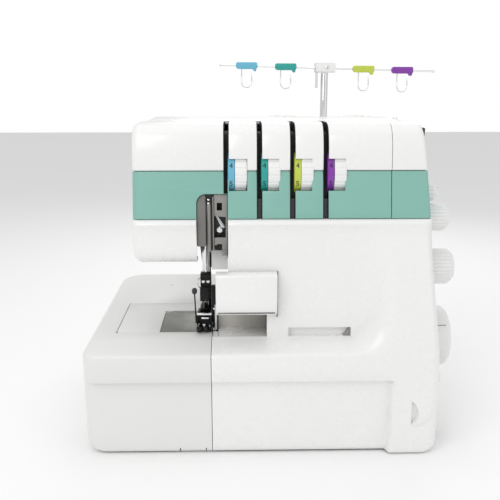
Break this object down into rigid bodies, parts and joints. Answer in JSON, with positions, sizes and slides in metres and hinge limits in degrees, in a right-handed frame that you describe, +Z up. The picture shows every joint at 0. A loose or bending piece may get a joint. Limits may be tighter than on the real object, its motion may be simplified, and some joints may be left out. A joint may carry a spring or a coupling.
{
  "type": "serger overlock machine",
  "caption": "Domestic overlock (serger) with slide-off table, opening looper cover, presser, needles, knives, tension dials and telescopic thread stand.",
  "frame": {"origin": "centre of the footprint's bounding box, on the surface that the feet rest on", "axes": "+X runs right along the arm's axes, from the table to the handwheel; +Y runs back; +Z is up"},
  "size_m": [0.3606, 0.2886, 0.3547],
  "materials": {
    "white_shell": "gloss warm white",
    "table_shell": "gloss light grey white",
    "green_band": "satin mint green",
    "grey_cover": "satin taupe grey",
    "control_grey": "satin light grey",
    "dark_plastic": "fine texture",
    "cast_frame": "as cast",
    "steel": "fine ground",
    "plated": "polished",
    "black_steel": "black oxide",
    "plate_steel": "satin",
    "rubber": "matt",
    "motor_case": "satin",
    "sky_blue": "satin",
    "teal": "satin",
    "lime": "satin",
    "purple": "satin"
  },
  "bodies": {
    "base": {"base_pan": "dark_plastic", "foot_front_left": "rubber", "foot_front_right": "rubber", "foot_rear_left": "rubber", "foot_rear_right": "rubber", "bed_casting": "cast_frame", "column_casting": "cast_frame", "arm_casting": "cast_frame", "bed_cover": "table_shell", "needle_plate": "plate_steel", "upper_front_cover": "white_shell", "green_band_left": "green_band", "green_band_middle": "green_band", "right_end_cover": "white_shell", "arm_lower_cover": "white_shell", "rear_cover": "white_shell", "side_cover": "white_shell", "column_inner_cover": "white_shell", "side_panel": "dark_plastic", "takeup_cover": "grey_cover", "face_plate": "cast_frame", "motor": "motor_case", "drive_belt": "rubber", "lower_knife": "steel", "power_inlet": "dark_plastic", "spool_stand": "control_grey", "antenna_tube": "plated"},
    "table": {"extension_table": "table_shell"},
    "cover_rod": {"cover_hinge_rod": "steel"},
    "front_cover": {"looper_cover": "white_shell", "knife_guard": "white_shell"},
    "drive_shaft": {"main_shaft": "steel", "handwheel": "control_grey"},
    "motor_rotor": {"motor_pulley": "steel"},
    "arm_rocker": {"arm_shaft": "steel"},
    "needle_set": {"needle_bar": "steel", "needle_clamp": "black_steel", "needle_left": "steel", "needle_right": "steel"},
    "presser_set": {"presser_bar": "steel", "presser_foot": "black_steel"},
    "lifter": {"presser_lifter": "black_steel"},
    "upper_looper_arm": {"upper_looper": "steel"},
    "lower_looper_arm": {"lower_looper": "steel"},
    "knife_arm": {"upper_knife": "steel"},
    "feed": {"feed_dog": "steel"},
    "dial_1": {"tension_dial_1": "sky_blue"},
    "dial_2": {"tension_dial_2": "teal"},
    "dial_3": {"tension_dial_3": "lime"},
    "dial_4": {"tension_dial_4": "purple"},
    "length_dial": {"stitch_length_dial": "control_grey"},
    "feed_dial": {"differential_feed_knob": "control_grey"},
    "width_dial": {"cutting_width_knob": "control_grey"},
    "switch": {"power_switch": "dark_plastic"},
    "antenna": {"antenna_rod": "plated", "guide_bar": "control_grey", "thread_guide_1": "sky_blue", "thread_guide_2": "teal", "thread_guide_3": "lime", "thread_guide_4": "purple"}
  },
  "joints": [
    {"name": "table_slide", "type": "slide", "parent": "base", "child": "table", "axis": [-1, 0, 0], "range_m": [0, 0.12]},
    {"name": "cover_slide", "type": "slide", "parent": "base", "child": "cover_rod", "axis": [1, 0, 0], "range_m": [0, 0.007]},
    {"name": "cover_hinge", "type": "hinge", "parent": "cover_rod", "child": "front_cover", "pos_m": [-0.01929, -0.1287, 0.0193], "axis": [1, 0, 0], "range_deg": [0, 80]},
    {"name": "handwheel_spin", "type": "hinge", "parent": "base", "child": "drive_shaft", "pos_m": [-0.01929, -0.0517, 0.0823], "axis": [1, 0, 0], "continuous": true},
    {"name": "motor_spin", "type": "hinge", "parent": "base", "child": "motor_rotor", "pos_m": [-0.01929, 0.0383, 0.0483], "axis": [1, 0, 0], "continuous": true},
    {"name": "arm_rock", "type": "hinge", "parent": "base", "child": "arm_rocker", "pos_m": [-0.01929, -0.0307, 0.2533], "axis": [1, 0, 0], "range_deg": [-15.2, 15.2]},
    {"name": "needle_stroke", "type": "slide", "parent": "base", "child": "needle_set", "axis": [0, 0, 1], "range_m": [-0.0124, 0.0124]},
    {"name": "upper_looper_swing", "type": "hinge", "parent": "base", "child": "upper_looper_arm", "pos_m": [-0.04209, -0.0817, 0.0513], "axis": [0, 1, 0], "range_deg": [-8, 8]},
    {"name": "lower_looper_swing", "type": "hinge", "parent": "base", "child": "lower_looper_arm", "pos_m": [-0.09729, -0.0857, 0.0633], "axis": [0, 1, 0], "range_deg": [-7, 7]},
    {"name": "knife_stroke", "type": "slide", "parent": "base", "child": "knife_arm", "axis": [0, 0, 1], "range_m": [-0.003, 0.003]},
    {"name": "feed_stroke", "type": "slide", "parent": "base", "child": "feed", "axis": [0, 1, 0], "range_m": [-0.0015, 0.0015]},
    {"name": "lifter_turn", "type": "hinge", "parent": "base", "child": "lifter", "pos_m": [-0.07189, -0.0297, 0.1798], "axis": [1, 0, 0], "range_deg": [0, 50]},
    {"name": "presser_lift", "type": "slide", "parent": "base", "child": "presser_set", "axis": [0, 0, 1], "range_m": [0, 0.0062]},
    {"name": "tension_turn_1", "type": "hinge", "parent": "base", "child": "dial_1", "pos_m": [-0.04149, -0.0825, 0.2533], "axis": [1, 0, 0], "range_deg": [-140, 140]},
    {"name": "tension_turn_2", "type": "hinge", "parent": "base", "child": "dial_2", "pos_m": [-0.01199, -0.0825, 0.2533], "axis": [1, 0, 0], "range_deg": [-140, 140]},
    {"name": "tension_turn_3", "type": "hinge", "parent": "base", "child": "dial_3", "pos_m": [0.01751, -0.0825, 0.2533], "axis": [1, 0, 0], "range_deg": [-140, 140]},
    {"name": "tension_turn_4", "type": "hinge", "parent": "base", "child": "dial_4", "pos_m": [0.04701, -0.0825, 0.2533], "axis": [1, 0, 0], "range_deg": [-140, 140]},
    {"name": "length_turn", "type": "hinge", "parent": "base", "child": "length_dial", "pos_m": [0.15041, -0.0737, 0.1613], "axis": [1, 0, 0], "range_deg": [-120, 120]},
    {"name": "feed_turn", "type": "hinge", "parent": "base", "child": "feed_dial", "pos_m": [0.14551, -0.0737, 0.2093], "axis": [1, 0, 0], "range_deg": [-60, 120]},
    {"name": "width_turn", "type": "hinge", "parent": "base", "child": "width_dial", "pos_m": [0.13801, -0.0697, 0.2323], "axis": [1, 0, 0], "range_deg": [-180, 180]},
    {"name": "switch_rock", "type": "hinge", "parent": "base", "child": "switch", "pos_m": [0.14071, -0.0912, 0.0533], "axis": [0, 1, 0], "range_deg": [0, 10]},
    {"name": "antenna_slide", "type": "slide", "parent": "base", "child": "antenna", "axis": [0, 0, 1], "range_m": [-0.075, 0]}
  ],
  "couplings": [
    {"joint": "motor_spin", "follows": "handwheel_spin", "ratio": 3.5},
    {"joint": "arm_rock", "follows": "needle_stroke", "rad_per_m": -21.05},
    {"joint": "upper_looper_swing", "follows": "needle_stroke", "rad_per_m": -10.5},
    {"joint": "lower_looper_swing", "follows": "needle_stroke", "rad_per_m": 8.4},
    {"joint": "knife_stroke", "follows": "needle_stroke", "ratio": 0.23},
    {"joint": "feed_stroke", "follows": "needle_stroke", "ratio": -0.115},
    {"joint": "presser_lift", "follows": "lifter_turn", "m_per_rad": 0.007}
  ]
}
